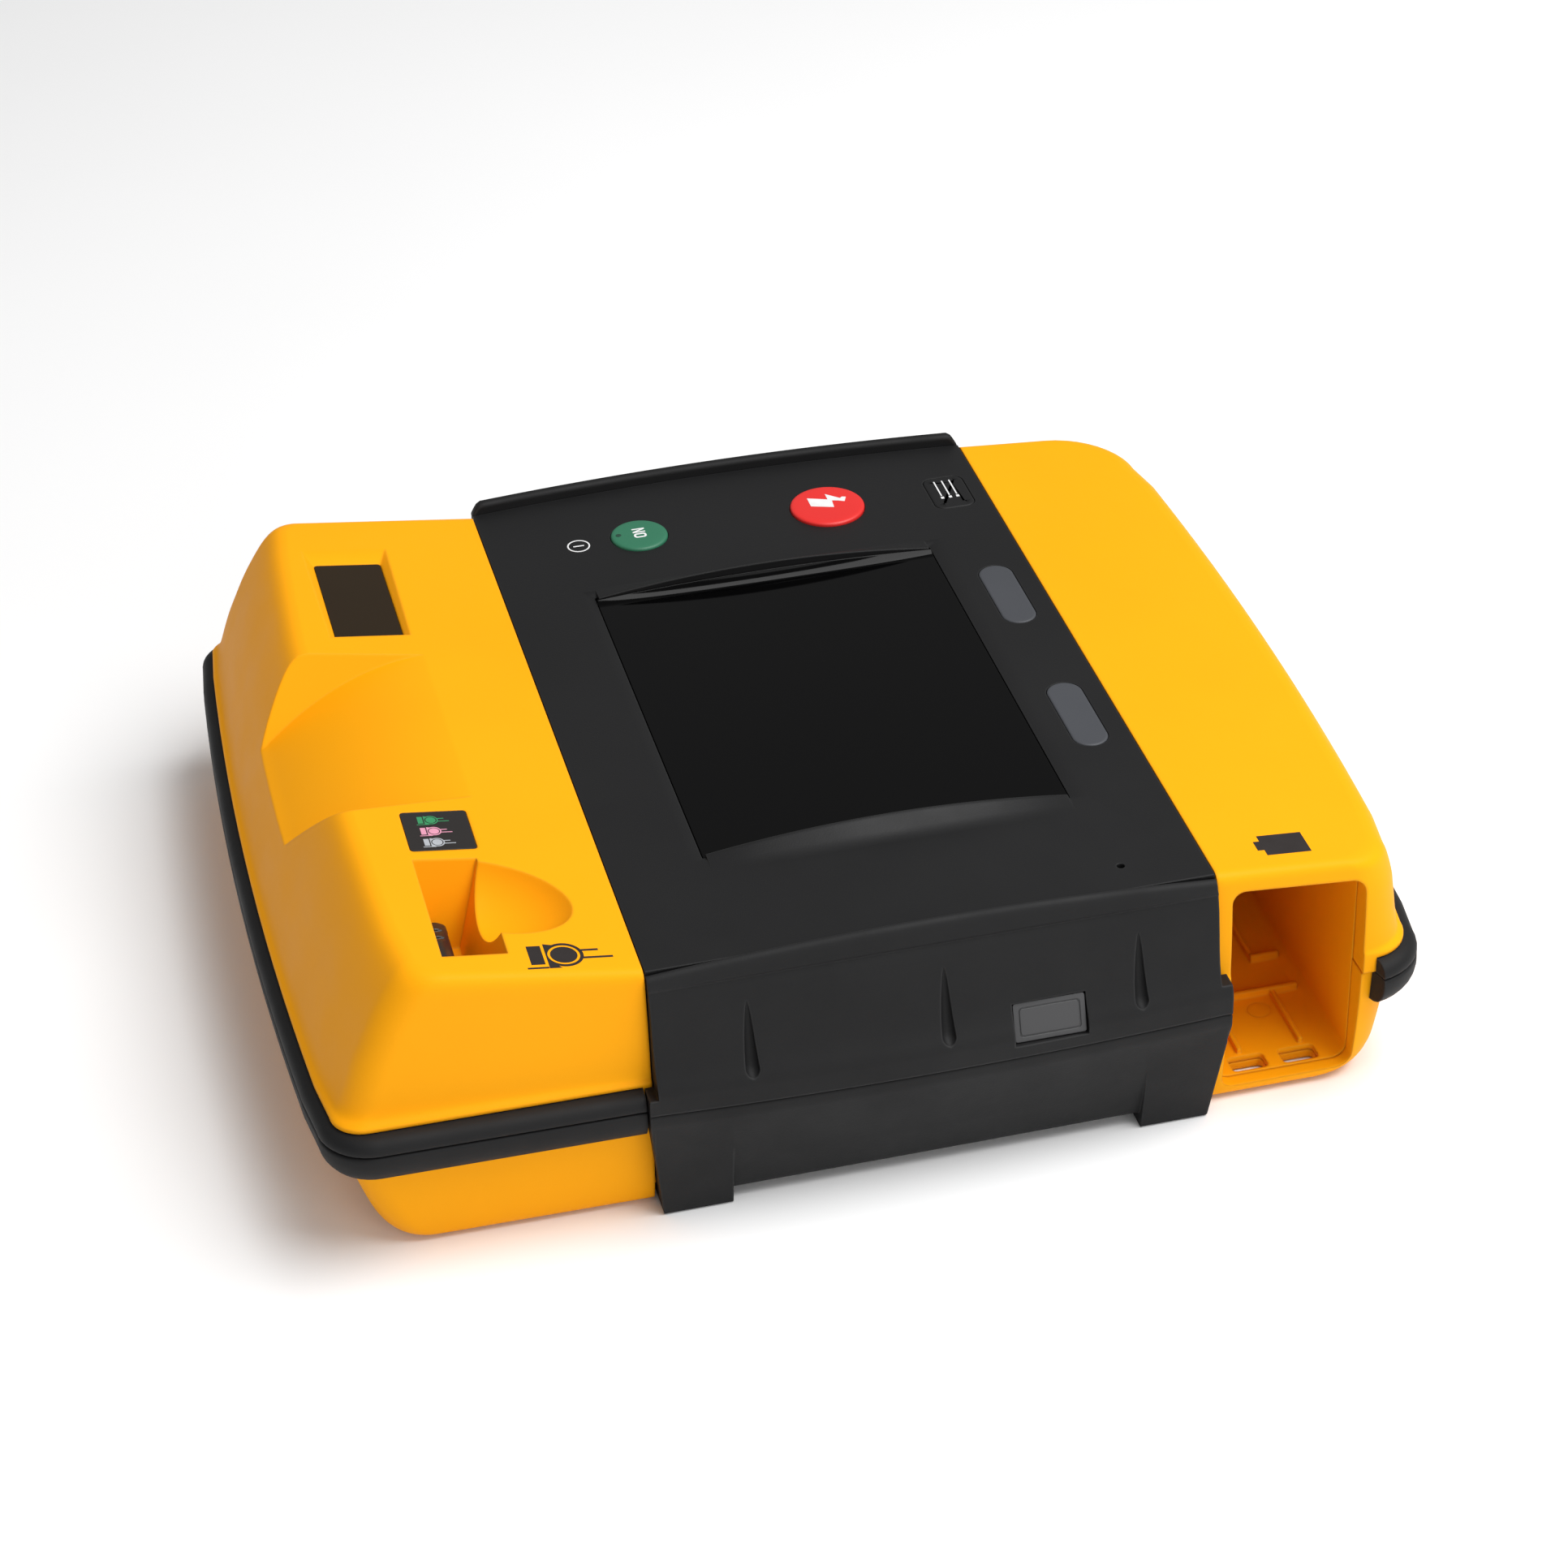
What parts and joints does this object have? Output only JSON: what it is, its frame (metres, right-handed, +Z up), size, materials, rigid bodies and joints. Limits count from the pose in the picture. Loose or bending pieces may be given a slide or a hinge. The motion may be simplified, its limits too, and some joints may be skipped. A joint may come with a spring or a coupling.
{
  "type": "portable defibrillator",
  "caption": "Portable defibrillator in a sealed two-part case with a screen, press keys, a recessed electrode connector and an open battery bay.",
  "frame": {"origin": "centre of the bounding box at its bottom, on the surface the case rests on", "axes": "+X towards the battery end, +Y away from the side with the data window, +Z up out of the screen"},
  "size_m": [0.2769, 0.2346, 0.0762],
  "materials": {
    "case_yellow": "fine moulded texture, warm yellow",
    "panel_black": "satin black",
    "rubber_black": "matt black overmoulded rubber",
    "screen_glass": "glossy black screen window",
    "smoked_window": "clear window over a dark display",
    "grey_window": "smoked grey infrared window",
    "key_grey": "matt blue grey keys",
    "key_green": "satin green",
    "key_red": "satin red",
    "circuit_board": "green circuit board",
    "steel": "plain steel",
    "brass": "plated contacts",
    "winding": "lacquered copper windings and core",
    "capacitor": "blue sleeve",
    "relay": "off-white housing"
  },
  "bodies": {
    "device": {"front_case": "case_yellow", "rear_case": "case_yellow", "battery_bay": "case_yellow", "control_panel": "panel_black", "recess_label": "panel_black", "near_grip_upper": "rubber_black", "near_grip_lower": "rubber_black", "far_grip_upper": "rubber_black", "far_grip_lower": "rubber_black", "bumper_left_upper": "rubber_black", "bumper_left_lower": "rubber_black", "bumper_right_upper": "rubber_black", "bumper_right_lower": "rubber_black", "battery_contact_block": "rubber_black", "connector_socket": "rubber_black", "case_seal": "rubber_black", "speaker": "rubber_black", "processor_module": "rubber_black", "display_lens": "screen_glass", "readiness_window": "smoked_window", "data_window": "grey_window", "display_module": "circuit_board", "switch_board": "circuit_board", "readiness_display": "circuit_board", "main_board": "circuit_board", "data_board": "circuit_board", "display_bracket": "steel", "heat_sink": "steel", "backup_cell": "steel", "microphone": "steel", "case_screw_1": "steel", "case_screw_2": "steel", "case_screw_3": "steel", "case_screw_4": "steel", "case_screw_5": "steel", "case_screw_6": "steel", "battery_contact_1": "brass", "battery_contact_2": "brass", "battery_contact_3": "brass", "battery_contact_4": "brass", "connector_pin_1": "brass", "connector_pin_2": "brass", "connector_pin_3": "brass", "transformer": "winding", "energy_capacitor": "capacitor", "transfer_relay": "relay"},
    "on_button": {"on_button": "key_green"},
    "shock_button": {"shock_button": "key_red"},
    "menu_button": {"menu_button": "panel_black"},
    "softkey_upper": {"softkey_upper": "key_grey"},
    "softkey_lower": {"softkey_lower": "key_grey"}
  },
  "joints": [
    {"name": "on_button_press", "type": "slide", "parent": "device", "child": "on_button", "axis": [0, 0, -1], "range_m": [0, 0.0012], "stiffness_N_per_m": 2600, "springref_m": -0.0004},
    {"name": "shock_button_press", "type": "slide", "parent": "device", "child": "shock_button", "axis": [0, 0, -1], "range_m": [0, 0.0012], "stiffness_N_per_m": 3200, "springref_m": -0.0004},
    {"name": "menu_button_press", "type": "slide", "parent": "device", "child": "menu_button", "axis": [0, 0, -1], "range_m": [0, 0.001], "stiffness_N_per_m": 2200, "springref_m": -0.0004},
    {"name": "softkey_upper_press", "type": "slide", "parent": "device", "child": "softkey_upper", "axis": [0, 0, -1], "range_m": [0, 0.0012], "stiffness_N_per_m": 2400, "springref_m": -0.0004},
    {"name": "softkey_lower_press", "type": "slide", "parent": "device", "child": "softkey_lower", "axis": [0, 0, -1], "range_m": [0, 0.0012], "stiffness_N_per_m": 2400, "springref_m": -0.0004}
  ]
}
